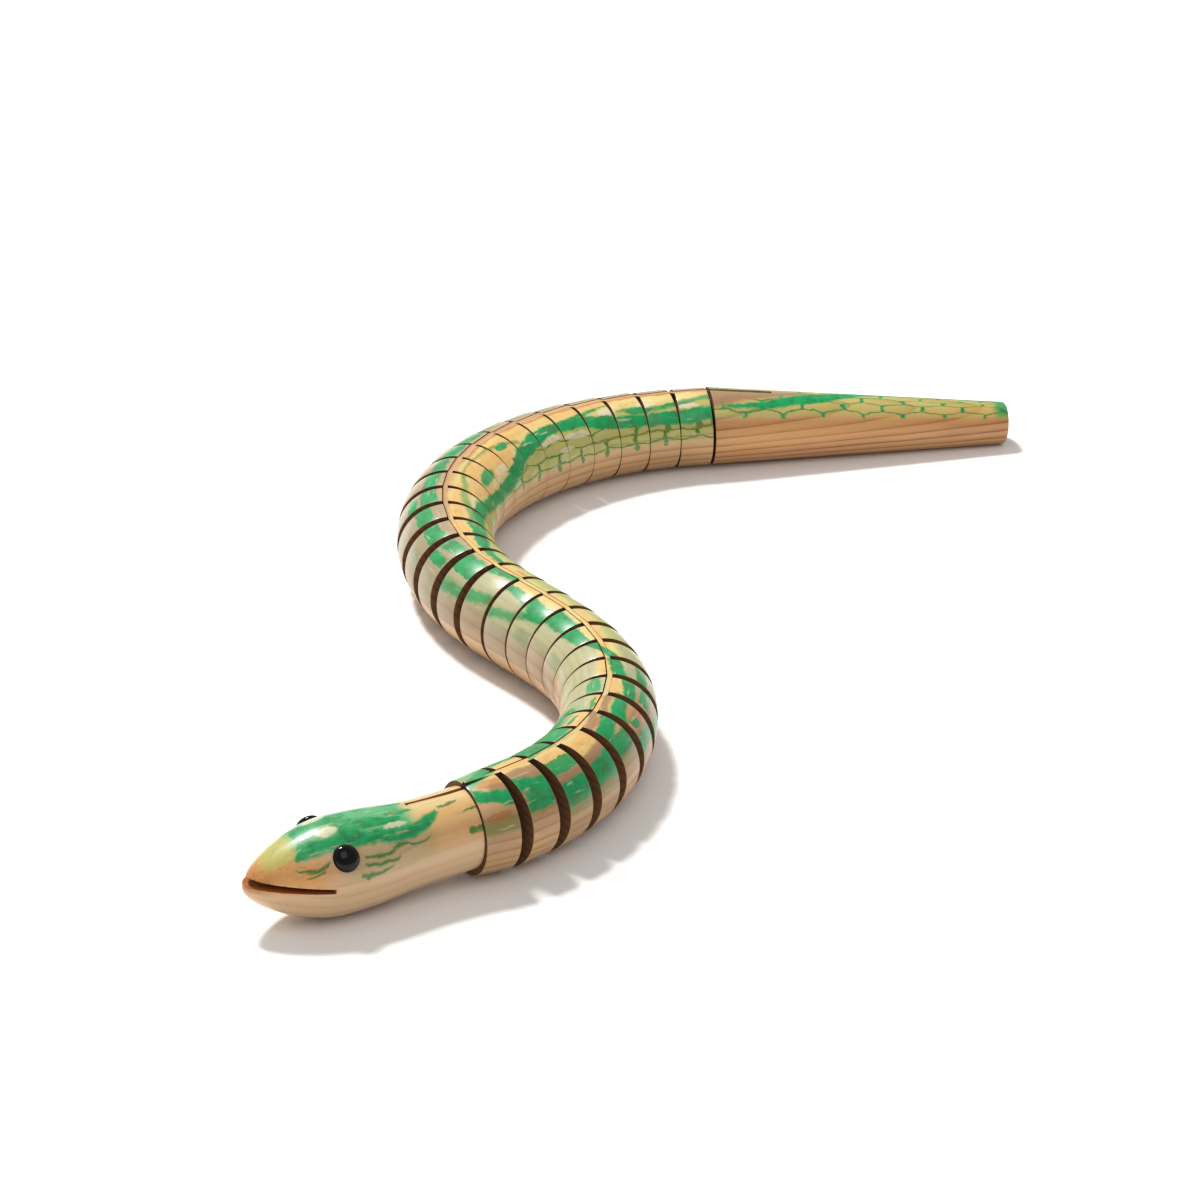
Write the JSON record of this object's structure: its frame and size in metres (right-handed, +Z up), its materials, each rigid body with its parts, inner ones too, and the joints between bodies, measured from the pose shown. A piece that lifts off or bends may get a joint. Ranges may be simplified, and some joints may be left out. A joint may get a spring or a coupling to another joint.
{
  "type": "jointed wooden snake",
  "caption": "Painted, turned wooden snake that wiggles: half-round body segments on a flexible spine strip, with a carved head, bead eyes and a sawn-off tail.",
  "frame": {"origin": "on the surface the snake lies on, under the middle of its bounding box", "axes": "+Z up; +Y along the longest side of the box, from the head's end towards the tail's end; the head is at -Y and faces -X"},
  "size_m": [0.2192, 0.335, 0.0284],
  "materials": {
    "head_wood": "varnished wood with green airbrushed and brushed markings",
    "body_wood": "varnished wood with green scale markings",
    "tail_wood": "varnished wood with strong grain and green markings on top",
    "strip": "painted over on its top edge, brown inside the cuts",
    "eye_bead": "glossy black"
  },
  "bodies": {
    "head": {"head": "head_wood", "left_eye": "eye_bead", "right_eye": "eye_bead", "segment_01_left": "body_wood", "segment_01_right": "body_wood"},
    "segment_02": {"segment_02_left": "body_wood", "segment_02_right": "body_wood"},
    "segment_03": {"segment_03_left": "body_wood", "segment_03_right": "body_wood"},
    "segment_04": {"segment_04_left": "body_wood", "segment_04_right": "body_wood"},
    "segment_05": {"segment_05_left": "body_wood", "segment_05_right": "body_wood"},
    "segment_06": {"segment_06_left": "body_wood", "segment_06_right": "body_wood"},
    "segment_07": {"segment_07_left": "body_wood", "segment_07_right": "body_wood"},
    "segment_08": {"segment_08_left": "body_wood", "segment_08_right": "body_wood"},
    "segment_09": {"segment_09_left": "body_wood", "segment_09_right": "body_wood"},
    "segment_10": {"segment_10_left": "body_wood", "segment_10_right": "body_wood"},
    "segment_11": {"segment_11_left": "body_wood", "segment_11_right": "body_wood"},
    "segment_12": {"segment_12_left": "body_wood", "segment_12_right": "body_wood"},
    "segment_13": {"segment_13_left": "body_wood", "segment_13_right": "body_wood"},
    "segment_14": {"segment_14_left": "body_wood", "segment_14_right": "body_wood"},
    "segment_15": {"segment_15_left": "body_wood", "segment_15_right": "body_wood", "spine_strip": "strip"},
    "segment_16": {"segment_16_left": "body_wood", "segment_16_right": "body_wood"},
    "segment_17": {"segment_17_left": "body_wood", "segment_17_right": "body_wood"},
    "segment_18": {"segment_18_left": "body_wood", "segment_18_right": "body_wood"},
    "segment_19": {"segment_19_left": "body_wood", "segment_19_right": "body_wood"},
    "segment_20": {"segment_20_left": "body_wood", "segment_20_right": "body_wood"},
    "segment_21": {"segment_21_left": "body_wood", "segment_21_right": "body_wood"},
    "segment_22": {"segment_22_left": "body_wood", "segment_22_right": "body_wood"},
    "segment_23": {"segment_23_left": "body_wood", "segment_23_right": "body_wood"},
    "segment_24": {"segment_24_left": "body_wood", "segment_24_right": "body_wood"},
    "segment_25": {"segment_25_left": "body_wood", "segment_25_right": "body_wood"},
    "segment_26": {"segment_26": "body_wood"},
    "segment_27": {"segment_27": "body_wood"},
    "segment_28": {"segment_28": "body_wood"},
    "segment_29": {"segment_29": "body_wood"},
    "segment_30": {"segment_30": "body_wood"},
    "tail": {"tail": "tail_wood"}
  },
  "joints": [
    {"name": "bend_01", "type": "hinge", "parent": "segment_02", "child": "head", "pos_m": [-0.04503, -0.12586, 0.014], "axis": [0, 0, 1], "range_deg": [-0.24, 15.62], "deforming": ["spine_strip"]},
    {"name": "bend_02", "type": "hinge", "parent": "segment_03", "child": "segment_02", "pos_m": [-0.03659, -0.11804, 0.014], "axis": [0, 0, 1], "range_deg": [-0.25, 16.67], "deforming": ["spine_strip"]},
    {"name": "bend_03", "type": "hinge", "parent": "segment_04", "child": "segment_03", "pos_m": [-0.02936, -0.1091, 0.014], "axis": [0, 0, 1], "range_deg": [-0.25, 16.83], "deforming": ["spine_strip"]},
    {"name": "bend_04", "type": "hinge", "parent": "segment_05", "child": "segment_04", "pos_m": [-0.02349, -0.09921, 0.014], "axis": [0, 0, 1], "range_deg": [-0.24, 16.84], "deforming": ["spine_strip"]},
    {"name": "bend_05", "type": "hinge", "parent": "segment_06", "child": "segment_05", "pos_m": [-0.01911, -0.08858, 0.014], "axis": [0, 0, 1], "range_deg": [-0.24, 16.84], "deforming": ["spine_strip"]},
    {"name": "bend_06", "type": "hinge", "parent": "segment_07", "child": "segment_06", "pos_m": [-0.01631, -0.07742, 0.014], "axis": [0, 0, 1], "range_deg": [-0.24, 16.84], "deforming": ["spine_strip"]},
    {"name": "bend_07", "type": "hinge", "parent": "segment_08", "child": "segment_07", "pos_m": [-0.01516, -0.06598, 0.014], "axis": [0, 0, 1], "range_deg": [-0.24, 16.84], "deforming": ["spine_strip"]},
    {"name": "bend_08", "type": "hinge", "parent": "segment_09", "child": "segment_08", "pos_m": [-0.01566, -0.05449, 0.014], "axis": [0, 0, 1], "range_deg": [-0.24, 16.84], "deforming": ["spine_strip"]},
    {"name": "bend_09", "type": "hinge", "parent": "segment_10", "child": "segment_09", "pos_m": [-0.01782, -0.04319, 0.014], "axis": [0, 0, 1], "range_deg": [-0.24, 16.84], "deforming": ["spine_strip"]},
    {"name": "bend_10", "type": "hinge", "parent": "segment_11", "child": "segment_10", "pos_m": [-0.02159, -0.03233, 0.014], "axis": [0, 0, 1], "range_deg": [-0.24, 16.84], "deforming": ["spine_strip"]},
    {"name": "bend_11", "type": "hinge", "parent": "segment_12", "child": "segment_11", "pos_m": [-0.02688, -0.02212, 0.014], "axis": [0, 0, 1], "range_deg": [-0.24, 12.98], "deforming": ["spine_strip"]},
    {"name": "bend_12", "type": "hinge", "parent": "segment_13", "child": "segment_12", "pos_m": [-0.03328, -0.01256, 0.014], "axis": [0, 0, 1], "range_deg": [-1.4, 7.6], "deforming": ["spine_strip"]},
    {"name": "bend_13", "type": "hinge", "parent": "segment_14", "child": "segment_13", "pos_m": [-0.04018, -0.00336, 0.014], "axis": [0, 0, 1], "range_deg": [-4.23, 4.77], "deforming": ["spine_strip"]},
    {"name": "bend_14", "type": "hinge", "parent": "segment_15", "child": "segment_14", "pos_m": [-0.04712, 0.0058, 0.014], "axis": [0, 0, 1], "range_deg": [-12.16, 0.24], "deforming": ["spine_strip"]},
    {"name": "bend_15", "type": "hinge", "parent": "segment_15", "child": "segment_16", "pos_m": [-0.05308, 0.01564, 0.014], "axis": [0, 0, 1], "range_deg": [-0.24, 14.8], "deforming": ["spine_strip"]},
    {"name": "bend_16", "type": "hinge", "parent": "segment_16", "child": "segment_17", "pos_m": [-0.05774, 0.02615, 0.014], "axis": [0, 0, 1], "range_deg": [-0.24, 14.98], "deforming": ["spine_strip"]},
    {"name": "bend_17", "type": "hinge", "parent": "segment_17", "child": "segment_18", "pos_m": [-0.06102, 0.03718, 0.014], "axis": [0, 0, 1], "range_deg": [-0.25, 15.03], "deforming": ["spine_strip"]},
    {"name": "bend_18", "type": "hinge", "parent": "segment_18", "child": "segment_19", "pos_m": [-0.06285, 0.04853, 0.014], "axis": [0, 0, 1], "range_deg": [-0.24, 15.04], "deforming": ["spine_strip"]},
    {"name": "bend_19", "type": "hinge", "parent": "segment_19", "child": "segment_20", "pos_m": [-0.0632, 0.06003, 0.014], "axis": [0, 0, 1], "range_deg": [-0.24, 15.04], "deforming": ["spine_strip"]},
    {"name": "bend_20", "type": "hinge", "parent": "segment_20", "child": "segment_21", "pos_m": [-0.06207, 0.07147, 0.014], "axis": [0, 0, 1], "range_deg": [-0.24, 15.04], "deforming": ["spine_strip"]},
    {"name": "bend_21", "type": "hinge", "parent": "segment_21", "child": "segment_22", "pos_m": [-0.05947, 0.08267, 0.014], "axis": [0, 0, 1], "range_deg": [-0.24, 15.04], "deforming": ["spine_strip"]},
    {"name": "bend_22", "type": "hinge", "parent": "segment_22", "child": "segment_23", "pos_m": [-0.05546, 0.09345, 0.014], "axis": [0, 0, 1], "range_deg": [-0.24, 15.04], "deforming": ["spine_strip"]},
    {"name": "bend_23", "type": "hinge", "parent": "segment_23", "child": "segment_24", "pos_m": [-0.05009, 0.10362, 0.014], "axis": [0, 0, 1], "range_deg": [-0.24, 15.04], "deforming": ["spine_strip"]},
    {"name": "bend_24", "type": "hinge", "parent": "segment_24", "child": "segment_25", "pos_m": [-0.04345, 0.11301, 0.014], "axis": [0, 0, 1], "range_deg": [-0.24, 15.04], "deforming": ["spine_strip"]},
    {"name": "bend_25", "type": "hinge", "parent": "segment_25", "child": "segment_26", "pos_m": [-0.03566, 0.12147, 0.014], "axis": [0, 0, 1], "range_deg": [-0.24, 15.04], "deforming": ["spine_strip"]},
    {"name": "bend_26", "type": "hinge", "parent": "segment_26", "child": "segment_27", "pos_m": [-0.02685, 0.12885, 0.014], "axis": [0, 0, 1], "range_deg": [-0.24, 15.04], "deforming": ["spine_strip"]},
    {"name": "bend_27", "type": "hinge", "parent": "segment_27", "child": "segment_28", "pos_m": [-0.01715, 0.13504, 0.014], "axis": [0, 0, 1], "range_deg": [-0.24, 15], "deforming": ["spine_strip"]},
    {"name": "bend_28", "type": "hinge", "parent": "segment_28", "child": "segment_29", "pos_m": [-0.00675, 0.13994, 0.014], "axis": [0, 0, 1], "range_deg": [-0.25, 14.85], "deforming": ["spine_strip"]},
    {"name": "bend_29", "type": "hinge", "parent": "segment_29", "child": "segment_30", "pos_m": [0.0042, 0.14347, 0.014], "axis": [0, 0, 1], "range_deg": [-0.24, 14.42], "deforming": ["spine_strip"]},
    {"name": "bend_30", "type": "hinge", "parent": "segment_30", "child": "tail", "pos_m": [0.0155, 0.14562, 0.014], "axis": [0, 0, 1], "range_deg": [-3.2, 5.8], "deforming": ["spine_strip"]}
  ]
}
